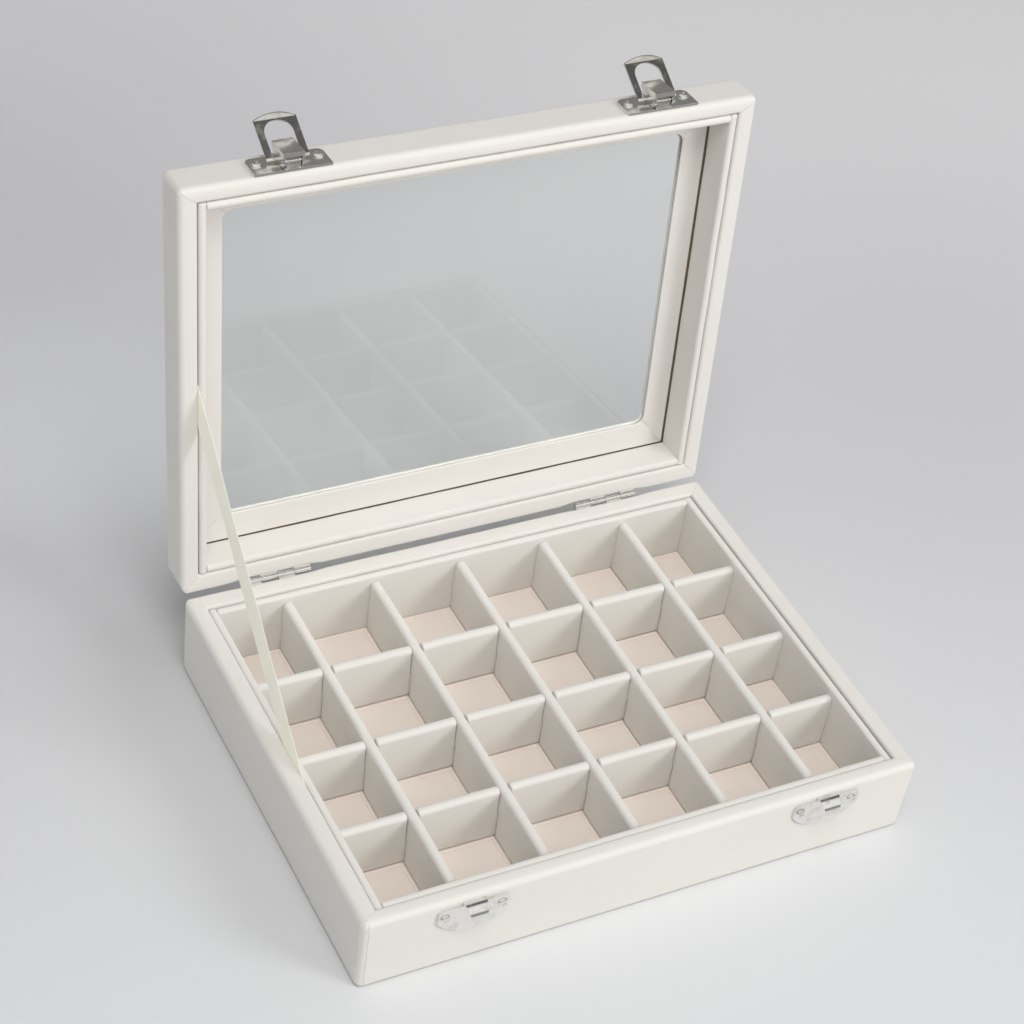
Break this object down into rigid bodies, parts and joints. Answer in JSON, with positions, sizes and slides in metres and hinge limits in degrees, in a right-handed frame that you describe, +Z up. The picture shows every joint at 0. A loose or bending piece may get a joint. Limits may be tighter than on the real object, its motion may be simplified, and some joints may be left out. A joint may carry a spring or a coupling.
{
  "type": "ring display box",
  "caption": "Cream velvet ring display box with a compartment tray, an open window lid, draw latches and a ribbon stay.",
  "frame": {"origin": "centre of the face that the box stands on", "axes": "+X to the right along the width, -Y to the front with the catches, +Z up"},
  "size_m": [0.2, 0.188, 0.1913],
  "materials": {
    "velvet": "short pile",
    "floor_velvet": "short pile",
    "foot_cloth": "matte",
    "ribbon": "satin",
    "board": "raw",
    "glass": "polished",
    "nickel": "bright nickel plate"
  },
  "bodies": {
    "base": {"bottom_cover": "foot_cloth", "bottom_board": "board", "base_front_wall": "board", "base_back_wall": "board", "base_left_wall": "board", "base_right_wall": "board", "base_wrap": "velvet", "base_front_liner": "velvet", "base_back_liner": "velvet", "base_left_liner": "velvet", "base_right_liner": "velvet", "floor_pad": "floor_velvet", "column_divider_1": "velvet", "column_divider_2": "velvet", "column_divider_3": "velvet", "column_divider_4": "velvet", "column_divider_5": "velvet", "row_divider_1": "velvet", "row_divider_2": "velvet", "row_divider_3": "velvet", "hinge_base_leaf_left": "nickel", "hinge_base_leaf_right": "nickel", "hinge_pin_left": "nickel", "hinge_pin_right": "nickel", "base_hinge_screws": "nickel", "catch_left": "nickel", "catch_right": "nickel", "catch_screws": "nickel", "ribbon_stay": "ribbon"},
    "lid": {"lid_front_rail": "board", "lid_back_rail": "board", "lid_left_rail": "board", "lid_right_rail": "board", "lid_top_board": "board", "lid_wrap": "velvet", "lid_front_liner": "velvet", "lid_back_liner": "velvet", "lid_left_liner": "velvet", "lid_right_liner": "velvet", "window_card": "velvet", "glass_pane": "glass", "hinge_lid_leaf_left": "nickel", "hinge_lid_leaf_right": "nickel", "lid_hinge_screws": "nickel", "latch_plate_left": "nickel", "latch_plate_right": "nickel", "lever_pin_left": "nickel", "lever_pin_right": "nickel", "latch_screws": "nickel"},
    "lever_left": {"lever_left": "nickel"},
    "lever_right": {"lever_right": "nickel"},
    "loop_left": {"loop_left": "nickel"},
    "loop_right": {"loop_right": "nickel"}
  },
  "joints": [
    {"name": "lid_hinge", "type": "hinge", "parent": "base", "child": "lid", "pos_m": [0, 0.077, 0.0302], "axis": [1, 0, 0], "range_deg": [0, 94.8], "deforming": ["ribbon_stay"]},
    {"name": "lever_left_swing", "type": "hinge", "parent": "lid", "child": "lever_left", "pos_m": [-0.0627, 0.09283, 0.18402], "axis": [-1, 0, 0], "range_deg": [-85, 0]},
    {"name": "lever_right_swing", "type": "hinge", "parent": "lid", "child": "lever_right", "pos_m": [0.0651, 0.09283, 0.18402], "axis": [-1, 0, 0], "range_deg": [-85, 0]},
    {"name": "loop_left_swing", "type": "hinge", "parent": "lever_left", "child": "loop_left", "pos_m": [-0.0627, 0.09626, 0.18302], "axis": [1, 0, 0], "range_deg": [0, 142.3]},
    {"name": "loop_right_swing", "type": "hinge", "parent": "lever_right", "child": "loop_right", "pos_m": [0.0651, 0.09626, 0.18302], "axis": [1, 0, 0], "range_deg": [0, 142.3]}
  ]
}
